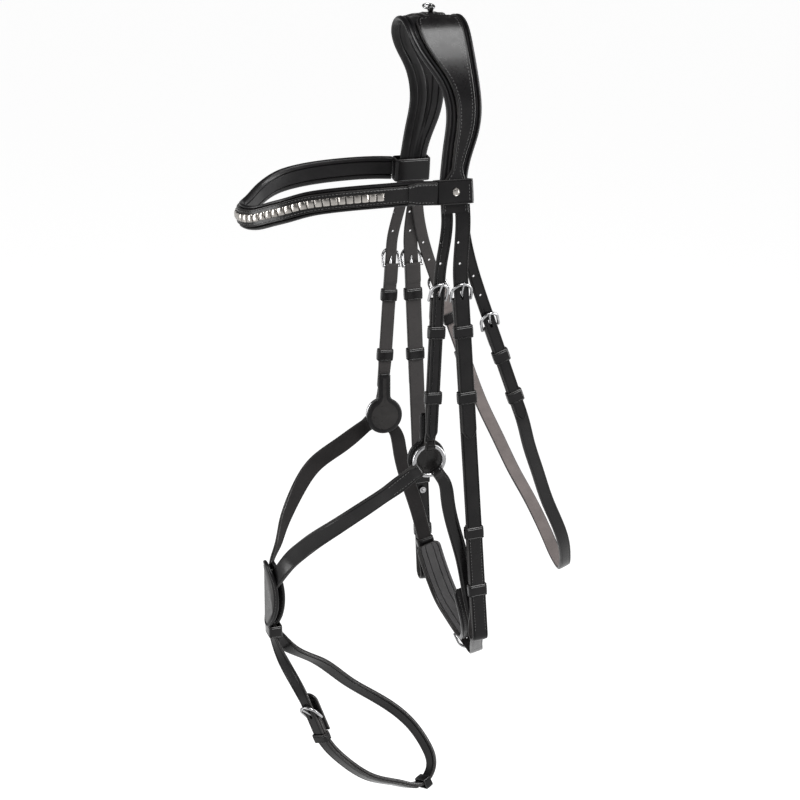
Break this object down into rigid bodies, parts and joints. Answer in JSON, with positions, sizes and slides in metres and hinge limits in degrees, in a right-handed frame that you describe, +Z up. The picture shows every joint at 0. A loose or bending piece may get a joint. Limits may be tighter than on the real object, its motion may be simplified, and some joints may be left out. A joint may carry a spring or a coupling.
{
  "type": "snaffle bridle",
  "caption": "Padded anatomic bridle with a crossed noseband, clincher browband, throatlatch, jaw strap and buckled cheekpieces that carry a bit.",
  "frame": {"origin": "middle of the crown's underside, where it rests on the poll", "axes": "+Z up, -X towards the horse's nose, +Y to the off (right) side, as it hangs on the head"},
  "size_m": [0.3054, 0.1568, 0.724],
  "materials": {
    "bridle_leather": "glossy black grain leather",
    "padded_leather": "soft black leather over padding",
    "steel": "polished stainless steel",
    "silver": "polished clincher links"
  },
  "bodies": {
    "crown": {"crown_pad": "padded_leather", "crown_panels": "bridle_leather", "crown_tab": "bridle_leather", "cheek_billets": "bridle_leather", "cheek_frames": "steel"},
    "crown_ring": {"crown_ring": "steel"},
    "browband": {"browband_lining": "padded_leather", "browband_face": "bridle_leather", "clincher_links": "silver", "browband_loops": "bridle_leather", "browband_studs": "steel"},
    "noseband": {"noseband_billets": "bridle_leather", "noseband_frames": "steel", "noseband_hangers": "bridle_leather", "noseband_fixed_keepers": "bridle_leather", "cheek_pads": "padded_leather"},
    "nose_cross": {"cross_straps": "bridle_leather", "cross_pads": "padded_leather", "cross_collar": "bridle_leather"},
    "chin_loop": {"chin_strap": "bridle_leather", "chin_billet": "bridle_leather", "chin_frame": "steel", "chin_fixed_keeper": "bridle_leather", "chin_guard": "bridle_leather"},
    "chin_tongue": {"chin_tongue": "steel"},
    "chin_runner": {"chin_runner": "bridle_leather"},
    "jaw_loop": {"jaw_strap": "bridle_leather", "jaw_billet": "bridle_leather", "jaw_pad": "padded_leather", "jaw_frame": "steel", "jaw_keepers": "bridle_leather"},
    "jaw_tongue": {"jaw_tongue": "steel"},
    "throatlatch": {"throat_billets": "bridle_leather", "throat_strap": "bridle_leather", "throat_frames": "steel", "throat_fixed_keepers": "bridle_leather"},
    "near_cheekpiece": {"near_cheek_strap": "bridle_leather", "near_cheek_billet_end": "bridle_leather", "near_cheek_fixed_keeper": "bridle_leather", "near_bit_keepers": "bridle_leather", "near_hook_stud": "steel"},
    "near_cheek_tongue": {"near_cheek_tongue": "steel"},
    "near_cheek_runner": {"near_cheek_runner": "bridle_leather"},
    "near_noseband_tongue": {"near_noseband_tongue": "steel"},
    "near_noseband_runner": {"near_noseband_runner": "bridle_leather"},
    "near_throat_tongue": {"near_throat_tongue": "steel"},
    "near_throat_runner": {"near_throat_runner": "bridle_leather"},
    "near_ring": {"near_ring": "steel"},
    "off_cheekpiece": {"off_cheek_strap": "bridle_leather", "off_cheek_billet_end": "bridle_leather", "off_cheek_fixed_keeper": "bridle_leather", "off_bit_keepers": "bridle_leather", "off_hook_stud": "steel"},
    "off_cheek_tongue": {"off_cheek_tongue": "steel"},
    "off_cheek_runner": {"off_cheek_runner": "bridle_leather"},
    "off_noseband_tongue": {"off_noseband_tongue": "steel"},
    "off_noseband_runner": {"off_noseband_runner": "bridle_leather"},
    "off_throat_tongue": {"off_throat_tongue": "steel"},
    "off_throat_runner": {"off_throat_runner": "bridle_leather"},
    "off_ring": {"off_ring": "steel"}
  },
  "joints": [
    {"name": "crown_ring_flop", "type": "hinge", "parent": "crown", "child": "crown_ring", "pos_m": [-0.004, 0, 0.0094], "axis": [1, 0, 0], "range_deg": [0, 140]},
    {"name": "browband_slide", "type": "slide", "parent": "crown", "child": "browband", "axis": [0, 0, 1], "range_m": [-0.004, 0.002]},
    {"name": "noseband_swing", "type": "hinge", "parent": "crown", "child": "noseband", "pos_m": [-0.0085, 0, -0.1415], "axis": [0, 1, 0], "range_deg": [0, 12]},
    {"name": "throatlatch_swing", "type": "hinge", "parent": "crown", "child": "throatlatch", "pos_m": [0.0046, 0, -0.1415], "axis": [0, -1, 0], "range_deg": [-0.5, 10]},
    {"name": "cross_swing", "type": "hinge", "parent": "noseband", "child": "nose_cross", "pos_m": [-0.026, 0, -0.358], "axis": [0, 1, 0], "range_deg": [-8, 8]},
    {"name": "jaw_swing", "type": "hinge", "parent": "noseband", "child": "jaw_loop", "pos_m": [-0.026, 0, -0.358], "axis": [0, 1, 0], "range_deg": [-8, 6]},
    {"name": "chin_swing", "type": "hinge", "parent": "nose_cross", "child": "chin_loop", "pos_m": [-0.148, 0, -0.5275], "axis": [0, 1, 0], "range_deg": [-10, 10]},
    {"name": "chin_tongue_turn", "type": "hinge", "parent": "chin_loop", "child": "chin_tongue", "pos_m": [-0.1195, -0.029, -0.603], "axis": [0.6166, -0.7302, 0.2942], "range_deg": [0, 15]},
    {"name": "jaw_tongue_turn", "type": "hinge", "parent": "jaw_loop", "child": "jaw_tongue", "pos_m": [0.0356, 0.015, -0.561], "axis": [0.9526, 0.1556, 0.2613], "range_deg": [0, 15]},
    {"name": "chin_runner_slide", "type": "slide", "parent": "chin_loop", "child": "chin_runner", "axis": [0.7613, 0.4016, 0.5091], "range_m": [-0.0015, 0.0015]},
    {"name": "near_cheek_swing", "type": "hinge", "parent": "crown", "child": "near_cheekpiece", "pos_m": [0.002, -0.063, -0.221], "axis": [-0.9985, 0, -0.0549], "range_deg": [0, 15]},
    {"name": "near_ring_spin", "type": "hinge", "parent": "noseband", "child": "near_ring", "pos_m": [-0.026, -0.067, -0.358], "axis": [0, 1, 0], "continuous": true},
    {"name": "near_cheek_tongue_turn", "type": "hinge", "parent": "crown", "child": "near_cheek_tongue", "pos_m": [0.002, -0.063, -0.221], "axis": [0.9985, 0, 0.0549], "range_deg": [0, 15]},
    {"name": "near_cheek_runner_slide", "type": "slide", "parent": "near_cheekpiece", "child": "near_cheek_runner", "axis": [-0.0549, 0.0432, 0.9976], "range_m": [-0.018, 0.035]},
    {"name": "near_noseband_tongue_turn", "type": "hinge", "parent": "noseband", "child": "near_noseband_tongue", "pos_m": [-0.018, -0.062, -0.22], "axis": [0.9983, 0, -0.0575], "range_deg": [0, 15]},
    {"name": "near_noseband_runner_slide", "type": "slide", "parent": "noseband", "child": "near_noseband_runner", "axis": [0.0574, 0.0348, 0.9977], "range_m": [-0.006, 0.035]},
    {"name": "near_throat_tongue_turn", "type": "hinge", "parent": "throatlatch", "child": "near_throat_tongue", "pos_m": [0.029, -0.0625, -0.247], "axis": [0.9404, 0, 0.3401], "range_deg": [0, 15]},
    {"name": "near_throat_runner_slide", "type": "slide", "parent": "throatlatch", "child": "near_throat_runner", "axis": [-0.3401, 0, 0.9404], "range_m": [-0.006, 0.018]},
    {"name": "off_cheek_swing", "type": "hinge", "parent": "crown", "child": "off_cheekpiece", "pos_m": [0.002, 0.063, -0.221], "axis": [0.9985, 0, 0.0549], "range_deg": [0, 15]},
    {"name": "off_ring_spin", "type": "hinge", "parent": "noseband", "child": "off_ring", "pos_m": [-0.026, 0.067, -0.358], "axis": [0, 1, 0], "continuous": true},
    {"name": "off_cheek_tongue_turn", "type": "hinge", "parent": "crown", "child": "off_cheek_tongue", "pos_m": [0.002, 0.063, -0.221], "axis": [-0.9985, 0, -0.0549], "range_deg": [0, 15]},
    {"name": "off_cheek_runner_slide", "type": "slide", "parent": "off_cheekpiece", "child": "off_cheek_runner", "axis": [-0.0549, -0.0432, 0.9976], "range_m": [-0.018, 0.035]},
    {"name": "off_noseband_tongue_turn", "type": "hinge", "parent": "noseband", "child": "off_noseband_tongue", "pos_m": [-0.018, 0.062, -0.22], "axis": [-0.9983, 0, 0.0575], "range_deg": [0, 15]},
    {"name": "off_noseband_runner_slide", "type": "slide", "parent": "noseband", "child": "off_noseband_runner", "axis": [0.0574, -0.0348, 0.9977], "range_m": [-0.006, 0.035]},
    {"name": "off_throat_tongue_turn", "type": "hinge", "parent": "throatlatch", "child": "off_throat_tongue", "pos_m": [0.029, 0.0625, -0.247], "axis": [-0.9404, 0, -0.3401], "range_deg": [0, 15]},
    {"name": "off_throat_runner_slide", "type": "slide", "parent": "throatlatch", "child": "off_throat_runner", "axis": [-0.3401, 0, 0.9404], "range_m": [-0.006, 0.018]}
  ]
}
